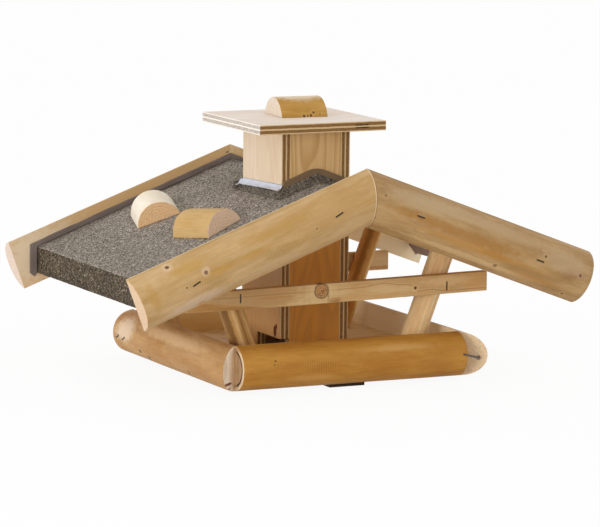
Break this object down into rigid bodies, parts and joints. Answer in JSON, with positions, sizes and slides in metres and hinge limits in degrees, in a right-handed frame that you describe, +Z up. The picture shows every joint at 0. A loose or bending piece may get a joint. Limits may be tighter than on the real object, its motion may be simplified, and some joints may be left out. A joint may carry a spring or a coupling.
{
  "type": "bird table",
  "caption": "Bird table with a log-edged tray, leaning posts, a felted saddle roof with half-log verges and a seed silo closed by a lift-off lid.",
  "frame": {"origin": "under the middle of the table, at the underside of the mounting bearer", "axes": "+Z up, +X along the roof's span to the right slope, front verge towards -Y"},
  "size_m": [0.622, 0.4496, 0.3373],
  "materials": {
    "plywood": "sanded birch plywood, brown and white plies on the edges",
    "split_log": "peeled half-round pine, saw-smooth bark side, grey-pink end grain",
    "round_pole": "peeled round pine",
    "sawn_rail": "planed pine",
    "sawn_batten": "dark sawn softwood",
    "mineral_felt": "grey mineral granules in bitumen",
    "felt_strip": "smooth grey felt strip",
    "flashing_strip": "soft matt metal sealing strip",
    "screw_steel": "zinc-plated wood screws",
    "staple_wire": "bright wire staples"
  },
  "bodies": {
    "table": {"barge_log_back_left": "split_log", "barge_log_back_right": "split_log", "barge_log_front_left": "split_log", "barge_log_front_right": "split_log", "barge_staples": "staple_wire", "bearer_screws": "screw_steel", "block_screws": "screw_steel", "eave_batten_left": "sawn_batten", "eave_batten_right": "sawn_batten", "felt_collar_back": "felt_strip", "felt_collar_front": "felt_strip", "felt_edge_back_left": "felt_strip", "felt_edge_back_right": "felt_strip", "felt_edge_front_left": "felt_strip", "felt_edge_front_right": "felt_strip", "flashing_left": "flashing_strip", "flashing_right": "flashing_strip", "floor_board": "plywood", "mounting_bearer": "sawn_batten", "post_back_left": "round_pole", "post_back_right": "round_pole", "post_front_left": "round_pole", "post_front_right": "round_pole", "post_screws": "screw_steel", "rail_back": "sawn_rail", "rail_front": "sawn_rail", "rail_staples": "staple_wire", "roof_block_back": "split_log", "roof_block_front": "split_log", "roof_board_left": "plywood", "roof_board_right": "plywood", "roof_felt_left": "mineral_felt", "roof_felt_right": "mineral_felt", "silo_board_back": "plywood", "silo_board_front": "plywood", "silo_board_left": "plywood", "silo_board_right": "plywood", "silo_screws": "screw_steel", "tray_log_back": "split_log", "tray_log_front": "split_log", "tray_log_left": "split_log", "tray_log_right": "split_log", "tray_staples": "staple_wire"},
    "lid": {"lid_board": "plywood", "lid_block": "plywood", "lid_knob": "split_log", "lid_screws": "screw_steel"}
  },
  "joints": [
    {"name": "lid_lift", "type": "slide", "parent": "table", "child": "lid", "axis": [0, 0, 1], "range_m": [0, 0.1]}
  ]
}
